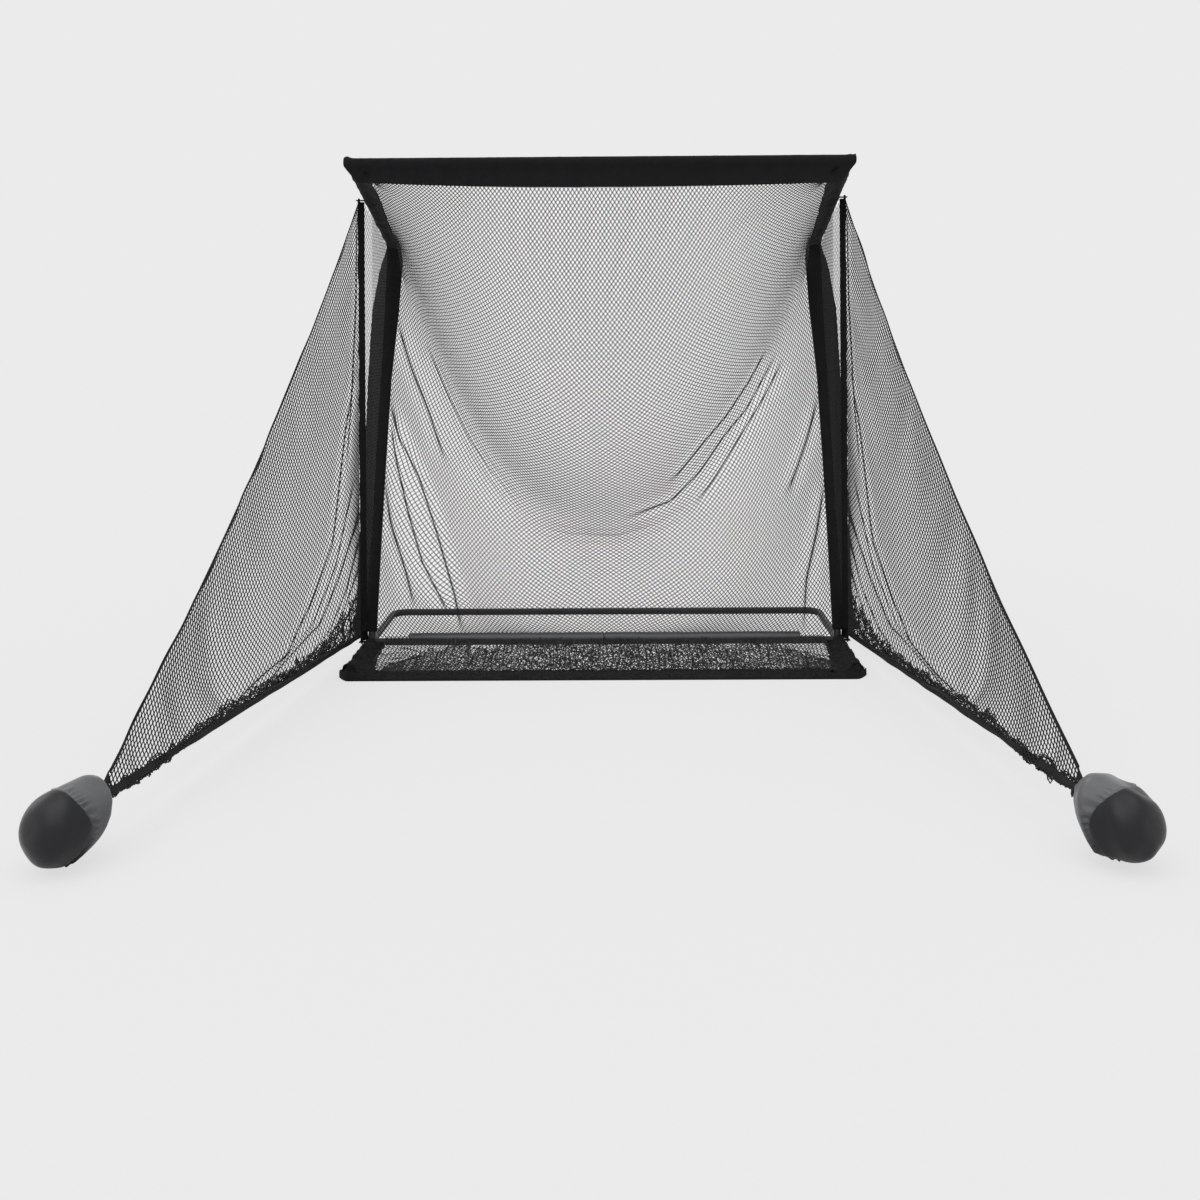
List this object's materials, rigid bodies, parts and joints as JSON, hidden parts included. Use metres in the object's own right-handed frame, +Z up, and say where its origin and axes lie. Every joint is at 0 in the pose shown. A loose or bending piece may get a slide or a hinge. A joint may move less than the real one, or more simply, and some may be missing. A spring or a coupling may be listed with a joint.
{
  "type": "golf practice net",
  "caption": "Free-standing tube frame with a loose pocket net, floor net, foam-padded crossbar and swinging side barriers held out by sandbags, for hitting balls into.",
  "frame": {"origin": "on the floor, under the middle of the bounding box", "axes": "+X to the golfer's right, +Y away from the golfer, +Z up"},
  "size_m": [3.1106, 2.9741, 2.148],
  "materials": {
    "frame_tube": "black powder coat on steel tube, satin",
    "end_cap": "black moulded plastic, matt",
    "button_steel": "plated steel, satin",
    "spring_steel": "spring steel strip, satin",
    "foam": "closed-cell foam, matt charcoal",
    "netting": "knotted black polyester net",
    "sleeve_fabric": "black woven polyester sleeve, matt",
    "webbing": "black woven webbing, matt",
    "cord": "black braided cord",
    "bag_fabric": "coated black fabric with a grey sheen",
    "sand": "dry sand, matt"
  },
  "bodies": {
    "frame": {"base_side_left": "frame_tube", "base_side_right": "frame_tube", "rear_corner_left": "frame_tube", "rear_corner_right": "frame_tube", "rear_rail": "frame_tube", "crossbar_left": "frame_tube", "crossbar_right": "frame_tube", "leg_lower_left": "frame_tube", "leg_lower_right": "frame_tube", "leg_upper_left": "frame_tube", "leg_upper_right": "frame_tube", "arm_left": "frame_tube", "arm_right": "frame_tube", "top_bar_left": "frame_tube", "top_bar_right": "frame_tube", "tube_end_caps": "end_cap", "button_clips": "spring_steel", "foam_roll_left": "foam", "foam_roll_right": "foam", "main_net": "netting", "side_net_left": "netting", "side_net_right": "netting", "front_net": "netting", "front_hem": "sleeve_fabric", "top_sleeve": "sleeve_fabric", "arm_sleeve_left": "sleeve_fabric", "arm_sleeve_right": "sleeve_fabric", "leg_sleeve_left": "sleeve_fabric", "leg_sleeve_right": "sleeve_fabric", "base_sleeve_left": "sleeve_fabric", "base_sleeve_right": "sleeve_fabric", "hinge_cord_left": "cord", "hinge_cord_right": "cord", "cord_ties_left": "webbing", "cord_ties_right": "webbing"},
    "barrier_left": {"barrier_net_left": "netting", "barrier_hem_left": "webbing", "barrier_slope_left": "webbing", "barrier_foot_left": "webbing", "sandbag_left": "bag_fabric", "sand_left": "sand", "bag_loop_left": "webbing"},
    "barrier_right": {"barrier_net_right": "netting", "barrier_hem_right": "webbing", "barrier_slope_right": "webbing", "barrier_foot_right": "webbing", "sandbag_right": "bag_fabric", "sand_right": "sand", "bag_loop_right": "webbing"},
    "button_rail_left": {"button_rail_left": "button_steel"},
    "button_corner_left": {"button_corner_left": "button_steel"},
    "button_foot_left": {"button_foot_left": "button_steel"},
    "button_leg_left": {"button_leg_left": "button_steel"},
    "button_elbow_left": {"button_elbow_left": "button_steel"},
    "button_arm_left": {"button_arm_left": "button_steel"},
    "button_rail_right": {"button_rail_right": "button_steel"},
    "button_corner_right": {"button_corner_right": "button_steel"},
    "button_foot_right": {"button_foot_right": "button_steel"},
    "button_leg_right": {"button_leg_right": "button_steel"},
    "button_elbow_right": {"button_elbow_right": "button_steel"},
    "button_arm_right": {"button_arm_right": "button_steel"},
    "button_top": {"button_top": "button_steel"}
  },
  "joints": [
    {"name": "barrier_swing_left", "type": "hinge", "parent": "frame", "child": "barrier_left", "pos_m": [-1.095, 0.90117, 0], "axis": [0, 0, -1], "range_deg": [-6, 70]},
    {"name": "barrier_swing_right", "type": "hinge", "parent": "frame", "child": "barrier_right", "pos_m": [1.095, 0.90117, 0], "axis": [0, 0, 1], "range_deg": [-6, 70]},
    {"name": "press_rail_left", "type": "slide", "parent": "frame", "child": "button_rail_left", "axis": [0, 0, -1], "range_m": [0, 0.0045], "stiffness_N_per_m": 1500, "springref_m": -0.002},
    {"name": "press_corner_left", "type": "slide", "parent": "frame", "child": "button_corner_left", "axis": [0, 0, -1], "range_m": [0, 0.0045], "stiffness_N_per_m": 1500, "springref_m": -0.002},
    {"name": "press_foot_left", "type": "slide", "parent": "frame", "child": "button_foot_left", "axis": [0, -0.9537, 0.3007], "range_m": [0, 0.0045], "stiffness_N_per_m": 1500, "springref_m": -0.002},
    {"name": "press_leg_left", "type": "slide", "parent": "frame", "child": "button_leg_left", "axis": [0, -0.9537, 0.3007], "range_m": [0, 0.0045], "stiffness_N_per_m": 1500, "springref_m": -0.002},
    {"name": "press_elbow_left", "type": "slide", "parent": "frame", "child": "button_elbow_left", "axis": [0, -0.3007, -0.9537], "range_m": [0, 0.0045], "stiffness_N_per_m": 1500, "springref_m": -0.002},
    {"name": "press_arm_left", "type": "slide", "parent": "frame", "child": "button_arm_left", "axis": [0, -0.3007, -0.9537], "range_m": [0, 0.0045], "stiffness_N_per_m": 1500, "springref_m": -0.002},
    {"name": "press_rail_right", "type": "slide", "parent": "frame", "child": "button_rail_right", "axis": [0, 0, -1], "range_m": [0, 0.0045], "stiffness_N_per_m": 1500, "springref_m": -0.002},
    {"name": "press_corner_right", "type": "slide", "parent": "frame", "child": "button_corner_right", "axis": [0, 0, -1], "range_m": [0, 0.0045], "stiffness_N_per_m": 1500, "springref_m": -0.002},
    {"name": "press_foot_right", "type": "slide", "parent": "frame", "child": "button_foot_right", "axis": [0, -0.9537, 0.3007], "range_m": [0, 0.0045], "stiffness_N_per_m": 1500, "springref_m": -0.002},
    {"name": "press_leg_right", "type": "slide", "parent": "frame", "child": "button_leg_right", "axis": [0, -0.9537, 0.3007], "range_m": [0, 0.0045], "stiffness_N_per_m": 1500, "springref_m": -0.002},
    {"name": "press_elbow_right", "type": "slide", "parent": "frame", "child": "button_elbow_right", "axis": [0, -0.3007, -0.9537], "range_m": [0, 0.0045], "stiffness_N_per_m": 1500, "springref_m": -0.002},
    {"name": "press_arm_right", "type": "slide", "parent": "frame", "child": "button_arm_right", "axis": [0, -0.3007, -0.9537], "range_m": [0, 0.0045], "stiffness_N_per_m": 1500, "springref_m": -0.002},
    {"name": "press_top", "type": "slide", "parent": "frame", "child": "button_top", "axis": [0, -1, 0], "range_m": [0, 0.0045], "stiffness_N_per_m": 1500, "springref_m": -0.002}
  ]
}
